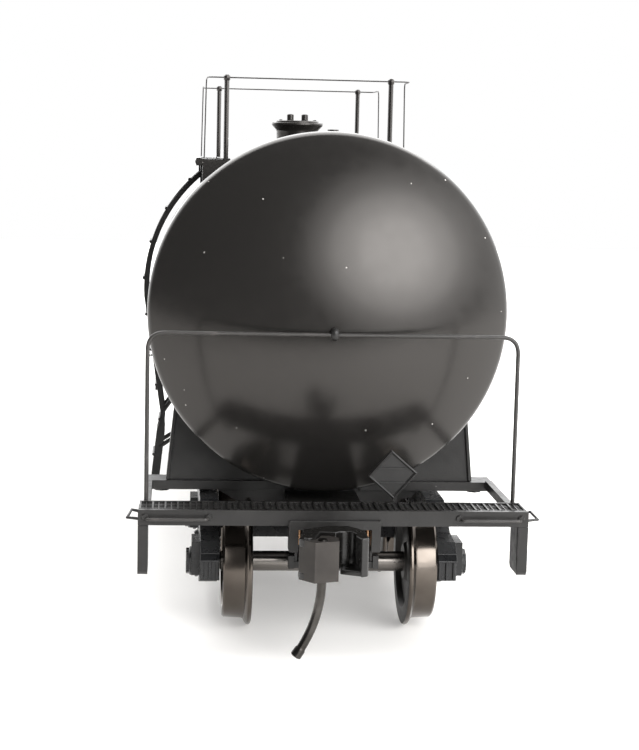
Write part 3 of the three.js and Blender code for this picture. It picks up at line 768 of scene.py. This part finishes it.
# ---- manway ------------------
def manway():
    """A round neck with a flared rim, and its cover with two valve caps and a ring of bolts."""
    low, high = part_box("manway_neck")
    rim, top = high.x, high.z
    bore, neck_radius, flare = 1.9 * MM, rim - 0.6 * MM, top - 1.05 * MM
    profile = [
        (neck_radius, low.z), (neck_radius, flare), (neck_radius + 0.06 * MM, flare + 0.2 * MM),
        (rim - 0.08 * MM, top - 0.34 * MM), (rim, top - 0.24 * MM), (rim, top - 0.05 * MM),
        (rim - 0.05 * MM, top), (rim - 0.42 * MM, top), (rim - 0.47 * MM, top - 0.05 * MM),
        (rim - 0.47 * MM, top - 0.3 * MM), (bore, top - 0.3 * MM), (bore, low.z), (neck_radius, low.z),
    ]
    neck = turned_mesh("neck", profile, Vector((0, 0, 1)), Vector((0, 0, 0)), 64)
    crisp(piece("manway_casting", neck, "tank_plastic", "wagon_body", "manway_neck"), 30)
    low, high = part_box("manway_cover")
    lid, lid_top = high.x, low.z + 0.52 * MM
    profile = [
        (0, low.z), (lid, low.z), (lid, lid_top - 0.08 * MM), (lid - 0.08 * MM, lid_top),
        (0, lid_top + 0.04 * MM),
    ]
    parts = [turned_mesh("lid", profile, Vector((0, 0, 1)), Vector((0, 0, 0)), 64)]
    profile = [
        (0, low.z + 0.3 * MM), (0.42 * MM, low.z + 0.3 * MM), (0.42 * MM, high.z - 0.08 * MM),
        (0.34 * MM, high.z), (0, high.z),
    ]
    for x in (-0.88 * MM, 0.88 * MM):
        parts.append(turned_mesh("cap", profile, Vector((0, 0, 1)), Vector((x, 0, 0)), 32))
    crisp(piece("manway_lid", joined("lid", parts), "tank_plastic", "wagon_body", "manway_cover"), 30)
    bolts, bolt_circle = 8, 2.25 * MM
    spots = []
    for i in range(bolts):
        angle = 2 * math.pi * (i + 0.5) / bolts
        spots.append((bolt_circle * math.cos(angle), bolt_circle * math.sin(angle), lid_top - 0.02 * MM))
    bolt_heads("manway_bolts", spots, (0, 0, 1), 0.18 * MM, 0.14 * MM, "tank_plastic", "wagon_body")


# ---- side ladders ------------
def ladder_run():
    """The stile's middle line: round the tank, down to its lower side, then out to the foot."""
    bend = TANK_RADIUS + LADDER_STAND_OFF
    centre = Vector((0, axis_height(0)))
    wrap_steps, leg_steps = 24, 8
    path = []
    for i in range(wrap_steps + 1):
        angle = math.radians(LADDER_TOP_ANGLE - LADDER_WRAP * i / wrap_steps)
        path.append(centre + Vector((bend * math.cos(angle), bend * math.sin(angle))))
    waist = Vector((0.88 * bend, 12.2 * MM))
    foot = Vector((0.93 * bend, 3.8 * MM))
    for start, stop in ((path[-1], waist), (waist, foot)):
        for i in range(1, leg_steps + 1):
            path.append(start.lerp(stop, i / leg_steps))
    return path


def side_ladders():
    """Two flat stiles, round rungs through them, and the stays that brace each stile."""
    path = ladder_run()
    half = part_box("ladder_right")[1].y - 0.55 * MM
    first_rung, foot_points = 1.6 * MM, 7
    depths = [LADDER_DEPTH] * (len(path) - foot_points) + [LADDER_FOOT_DEPTH] * foot_points
    walked = [0]
    for start, stop in zip(path, path[1:]):
        walked.append(walked[-1] + (stop - start).length)
    rungs = []
    for number in range(int((walked[-1] - first_rung) / LADDER_PITCH) + 1):
        reach = first_rung + number * LADDER_PITCH
        step = next(i for i in range(1, len(walked)) if walked[i] >= reach)
        share = (reach - walked[step - 1]) / (walked[step] - walked[step - 1])
        way = (path[step] - path[step - 1]).normalized()
        out = Vector((-way.y, way.x)) * (depths[step] / 2 + 0.02 * MM)
        rungs.append(path[step - 1].lerp(path[step], share) + out)
    for side, turn in (("right", ENDS["near"]), ("left", ENDS["far"])):
        bars = []
        for y in (-half, half):
            bars.append(flat_bar("stile", path, depths, y - 0.2 * MM, y + 0.2 * MM))
        mesh = joined("ladder", bars)
        mesh.transform(turn)
        stiles = piece(f"ladder_stiles_{side}", mesh, "frame_plastic", "wagon_body", f"ladder_{side}")
        soften(crisp(stiles, 35), 0.06 * MM, 35)
        for number, at in enumerate(rungs):
            ends = [(at.x, -half - 0.4 * MM, at.y), (at.x, half + 0.4 * MM, at.y)]
            rod(f"rung_{number}_{side}", ends, 0.2 * MM, "frame_plastic", "wagon_body", turn=turn)
        for number, (start, stop) in enumerate(LADDER_STAYS):
            for y in (-half, half):
                ends = [(start[0], y, start[1]), (stop[0], y, stop[1])]
                rod(f"stay_{number}_{side}_{'near' if y < 0 else 'far'}", ends, 0.26 * MM, "frame_plastic",
                    "wagon_body", turn=turn)


def bolster_edges():
    """A narrow flange down each sloping outer edge of the body bolsters."""
    for end in ENDS:
        low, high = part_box(f"body_bolster_{end}")
        middle = (low.y + high.y) / 2
        for side, way in SIDES.items():
            path = [Vector((way * across, up)) for across, up in BOLSTER_SLOPE]
            mesh = flat_bar("flange", path, [0.34 * MM] * len(path), middle - 1.3 * MM, middle + 1.3 * MM)
            flange = piece(f"bolster_flange_{side}_{end}", facing_out(mesh), "frame_plastic", "wagon_body")
            soften(crisp(flange, 30))


# ---- trucks ------------------
def journal_castings():
    """On the four ends of each truck's side frames: three upright ribs under a sloping lip."""
    for end in ENDS:
        low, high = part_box(f"truck_frame_{end}")
        inner, outer = high.x - 3.1 * MM, high.x - 1.3 * MM
        for side, way in SIDES.items():
            parts = []
            for face, out in ((low.y, -1), (high.y, 1)):
                near, far = sorted((face, face + out * 0.25 * MM))
                for share in (0.12, 0.5, 0.88):
                    x = way * (inner + (outer - inner) * share)
                    rib = ((x - 0.13 * MM, near, JOURNAL_FOOT), (x + 0.13 * MM, far, JOURNAL_SHELF))
                    parts.append(boxes_mesh("rib", [rib]))
                edge = face + out * 0.5 * MM
                lip = [
                    (face, JOURNAL_TOP), (face, JOURNAL_SHELF), (edge, JOURNAL_SHELF),
                    (edge, JOURNAL_SHELF + 0.15 * MM),
                ]
                left, right = sorted((way * inner, way * outer))
                parts.append(prism_mesh("lip", lip, left, right, crosswise=True))
            mesh = joined("journal casting", parts)
            castings = piece(f"journal_castings_{side}_{end}", mesh, "truck_plastic", f"truck_{end}")
            soften(castings, 0.05 * MM)


def truck_details():
    """Coil springs in the side frames' windows, and bearing end caps with their bolts."""
    across, along, foot = SPRING_PLACE
    for end in ENDS:
        low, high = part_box(f"truck_frame_{end}")
        middle = (low.y + high.y) / 2
        body = f"truck_{end}"
        for side, way in SIDES.items():
            for number, offset in enumerate((-along, along)):
                place = Vector((way * across, middle + offset, foot))
                coil_spring(f"spring_{side}_{number}_{end}", place, 1.14 * MM, 3.3 * MM, body)
            for spot in SPOTS:
                axle_low, axle_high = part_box(f"axle_{end}_{spot}")
                bearing_cap(f"cap_{side}_{spot}_{end}", way, (axle_low + axle_high) / 2, high.x, body)


def coil_spring(name, foot, radius, height, body):
    """A wire wound upwards from its foot."""
    turns, steps = 5.5, 20
    count = int(turns * steps)
    path = []
    for i in range(count + 1):
        angle = 2 * math.pi * i / steps
        step = Vector((radius * math.cos(angle), radius * math.sin(angle), height * i / count))
        path.append(foot + step)
    return rod(name, path, 0.2 * MM, "truck_plastic", body)


def bearing_cap(name, way, centre, face, body):
    """A turned cap on the axle's end, with a raised ring and three bolts."""
    profile = [
        (0, -0.1 * MM), (0.62 * MM, -0.1 * MM), (0.7 * MM, -0.22 * MM), (1.22 * MM, -0.22 * MM),
        (1.36 * MM, -0.34 * MM), (1.36 * MM, -0.75 * MM), (1.5 * MM, -0.8 * MM), (1.5 * MM, -1.1 * MM),
    ]
    start = Vector((way * (face - 0.05 * MM), centre.y, centre.z))
    mesh = turned_mesh(name, profile, Vector((way, 0, 0)), start, 36)
    crisp(piece(name, mesh, "truck_plastic", body), 30)
    bolts, bolt_circle = 3, 0.95 * MM
    spots = []
    for i in range(bolts):
        angle = math.pi / 2 + 2 * math.pi * i / bolts
        step = Vector((-way * 0.24 * MM, bolt_circle * math.cos(angle), bolt_circle * math.sin(angle)))
        spots.append(start + step)
    bolt_heads(f"{name}_bolts", spots, (way, 0, 0), 0.3 * MM, 0.3 * MM, "truck_plastic", body)


# ---- couplers ----------------
def coupler_heads():
    """The coupler's shank, its head with the rounded throat and guard arm, and the knuckle's lugs."""
    low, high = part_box("coupler_body_near")
    shank_low, shank_high = high.z - 2.6 * MM, high.z - 1.4 * MM
    tip = low.y + 0.5 * MM
    neck = tip + 5.1 * MM
    guard_side, knuckle_side = 2.1 * MM, -3.3 * MM
    throat = (0.35 * MM, tip + 1.95 * MM)
    head = [(-SHANK_HALF, neck), (knuckle_side, tip + 3.6 * MM), (knuckle_side, tip + 2.9 * MM)]
    head += arc(throat, 0.95 * MM, 150, -35, 20)
    head += [(1.35 * MM, tip + 0.55 * MM), (1.55 * MM, tip)]
    head += arc((1.75 * MM, tip + 0.55 * MM), 0.45 * MM, -80, 0, 5)
    head += [(guard_side, tip + 3.3 * MM), (SHANK_HALF, neck)]
    pivot_radius = 2.2 * MM
    pivot_y = high.y - pivot_radius
    pivot = arc((0, pivot_y), pivot_radius, 0, 352, 44)
    shank = [
        (-SHANK_HALF, neck - 0.2 * MM), (SHANK_HALF, neck - 0.2 * MM),
        (SHANK_HALF, pivot_y), (-SHANK_HALF, pivot_y),
    ]
    pin = (-3.1 * MM, low.y + 0.5 * MM)
    lug = arc(pin, 0.78 * MM, 150, 390, 16) + [(-1.7 * MM, tip + 3.3 * MM), (knuckle_side, tip + 3.3 * MM)]
    rivet = arc(pin, 0.34 * MM, 0, 345, 23)
    lip = [
        (-0.2 * MM, tip + 1.1 * MM), (1.7 * MM, tip + 0.15 * MM), (2 * MM, tip + 1.6 * MM),
        (0.4 * MM, tip + 2.9 * MM),
    ]
    for end, turn in ENDS.items():
        parts = [
            prism_mesh("head", head, low.z, high.z - 0.1 * MM),
            prism_mesh("shank", shank, shank_low, shank_high),
            prism_mesh("pivot", pivot, shank_low, shank_high),
            prism_mesh("lug", lug, high.z - 0.75 * MM, high.z - 0.08 * MM),
            prism_mesh("lug", lug, low.z, low.z + 0.55 * MM),
            prism_mesh("rivet", rivet, low.z, high.z),
            prism_mesh("lip", lip, low.z, low.z + 0.45 * MM),
        ]
        mesh = joined("coupler", parts)
        mesh.transform(turn)
        made = piece(f"coupler_head_{end}", mesh, "coupler_metal", f"coupler_{end}", f"coupler_body_{end}")
        made.data.materials[0] = BLACKENED_COUPLER
        soften(crisp(made, 25), 0.1 * MM, 25)


def trip_pins():
    """The curved trip pin as a smooth tube, with a flared foot at its tip."""
    low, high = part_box("trip_pin_near")
    radius, height = 0.4 * MM, high.z - low.z
    x, y = high.x - radius, (low.y + high.y) / 2
    neck = Vector((x, y, low.z + 0.62 * height))
    pull = Vector((x - 0.1 * MM, y, low.z + 0.3 * height))
    tip = Vector((low.x + 0.35 * MM, y, low.z + 0.25 * MM))
    steps = 24
    path = [Vector((x, y, high.z))]
    for i in range(steps + 1):
        path.append(curve_point(neck, pull, tip, i / steps))
    way = (path[-1] - path[-2]).normalized()
    profile = [
        (0.36 * MM, -0.9 * MM), (0.47 * MM, -0.6 * MM), (0.49 * MM, 0.05 * MM), (0.42 * MM, 0.12 * MM),
        (0.28 * MM, 0.12 * MM), (0.24 * MM, -0.3 * MM), (0, -0.35 * MM),
    ]
    for end, turn in ENDS.items():
        rod(f"curved_pin_{end}", path, radius, "pin_steel", f"knuckle_{end}", f"trip_pin_{end}", turn=turn)
        foot = turned_mesh("foot", profile, way, tip - way * 0.05 * MM, 28)
        foot.transform(turn)
        crisp(piece(f"pin_foot_{end}", foot, "pin_steel", f"knuckle_{end}"), 35)


# ---- carried-over CAD nodes --
def dress_cad_nodes():
    """Every node that no piece replaces keeps its own mesh, with a finish and rounded edges."""
    for name, obj in frame["nodes"].items():
        if obj.hide_render:
            continue
        obj.data.materials.clear()
        obj.data.materials.append(FINISHES[SLOT_OF[name]])
        wider = name.startswith(("coupler_knuckle", "truck_frame"))
        soften(obj, WIDER_ROUNDING if wider else EDGE_ROUNDING)


# ---- studio ------------------
def floor():
    """A pale table that glows a little, more towards the right."""
    side, front, back = 0.45, -0.15, 0.6
    corners = [(-side, front, 0), (side, front, 0), (side, back, 0), (-side, back, 0)]
    mesh = mesh_of("floor", corners, [(0, 1, 2, 3)], smooth=False)
    made = bpy.data.objects.new("floor", mesh)
    bpy.context.scene.collection.objects.link(made)
    finish = Finish("pale table", (0.7, 0.7, 0.7), 0.6)
    finish.color(finish.mix(finish.noise(40, 3), (0.68, 0.67, 0.655), (0.71, 0.7, 0.685)))
    finish.shader.inputs["Emission Color"].default_value = (1, 0.985, 0.965, 1)
    across = finish.node("ShaderNodeSeparateXYZ")
    finish.link(finish.place.outputs["Object"], across.inputs["Vector"])
    glow = finish.spread(across.outputs["X"], -0.2, 0.1, 0.1 * FLOOR_GLOW, 1.2 * FLOOR_GLOW)
    finish.link(glow, finish.shader.inputs["Emission Strength"])
    made.data.materials.append(finish.material)


def softbox(name, centre, target, size, power):
    """An elliptical lamp aimed at a target."""
    light = bpy.data.lights.new(name, "AREA")
    light.shape = "ELLIPSE"
    light.size, light.size_y = size
    light.energy = power
    made = bpy.data.objects.new(name, light)
    bpy.context.scene.collection.objects.link(made)
    made.location = centre
    made.rotation_mode = "QUATERNION"
    made.rotation_quaternion = (Vector(target) - Vector(centre)).to_track_quat("-Z", "Y")
    made.visible_camera = False


def lamps():
    """A stepped key lamp at the front right, and a broad lamp above and behind the wagon."""
    for step, (name, size, power) in enumerate(KEY_STEPS):
        softbox(name, Vector(KEY_PLACE) * (1 - KEY_NESTING * step), KEY_TARGET, size, power)
    softbox("top", TOP_PLACE, TOP_TARGET, TOP_SIZE, TOP_POWER)


def room():
    """A plain white backdrop, and for the light a room that is dim in front and bright behind."""
    world = bpy.data.worlds.new("studio")
    bpy.context.scene.world = world
    world.use_nodes = True
    tree = world.node_tree
    background = tree.nodes["Background"]
    path = tree.nodes.new("ShaderNodeLightPath")
    place = tree.nodes.new("ShaderNodeTexCoord")
    split = tree.nodes.new("ShaderNodeSeparateXYZ")
    tree.links.new(place.outputs["Generated"], split.inputs["Vector"])
    back = tree.nodes.new("ShaderNodeMapRange")
    back.interpolation_type = "SMOOTHSTEP"
    back.inputs["From Min"].default_value = -0.2
    back.inputs["From Max"].default_value = 0.5
    back.inputs["To Min"].default_value = ROOM_FRONT
    back.inputs["To Max"].default_value = ROOM_BACK
    slant = tree.nodes.new("ShaderNodeMath")
    slant.operation = "MULTIPLY_ADD"
    slant.inputs[1].default_value = ROOM_SIDEWAYS
    tree.links.new(split.outputs["X"], slant.inputs[0])
    tree.links.new(split.outputs["Y"], slant.inputs[2])
    tree.links.new(slant.outputs["Value"], back.inputs["Value"])
    mix = tree.nodes.new("ShaderNodeMix")
    mix.data_type = "FLOAT"
    mix.inputs["B"].default_value = 1.0
    tree.links.new(path.outputs["Is Camera Ray"], mix.inputs["Factor"])
    tree.links.new(back.outputs["Result"], mix.inputs["A"])
    tree.links.new(mix.outputs["Result"], background.inputs["Strength"])
    background.inputs["Color"].default_value = (1, 1, 1, 1)


def camera():
    """A long lens in front of the near end and a little to its left, tilted slightly down."""
    data = bpy.data.cameras.new("camera")
    data.sensor_width = 36
    data.lens = CAMERA_LENS
    data.clip_start = 0.01
    data.clip_end = 20
    made = bpy.data.objects.new("camera", data)
    bpy.context.scene.collection.objects.link(made)
    turn = Matrix.Rotation(-CAMERA_HEADING, 4, "Z") @ Matrix.Rotation(math.pi / 2 - CAMERA_TILT, 4, "X")
    turn = turn @ Matrix.Rotation(CAMERA_ROLL, 4, "Z")
    made.matrix_world = Matrix.Translation(CAMERA_PLACE) @ turn
    bpy.context.scene.camera = made


# ---- assembly ----------------
tank_barrel()
tank_heads()
wheelsets()
walkway_grating()
end_hoop()
sill_fittings()
placard_rim()
platform_rails()
platform_grating()
manway()
side_ladders()
bolster_edges()
journal_castings()
truck_details()
coupler_heads()
trip_pins()
dress_cad_nodes()
floor()
room()
lamps()
camera()
bpy.context.scene.view_settings.view_transform = "Standard"
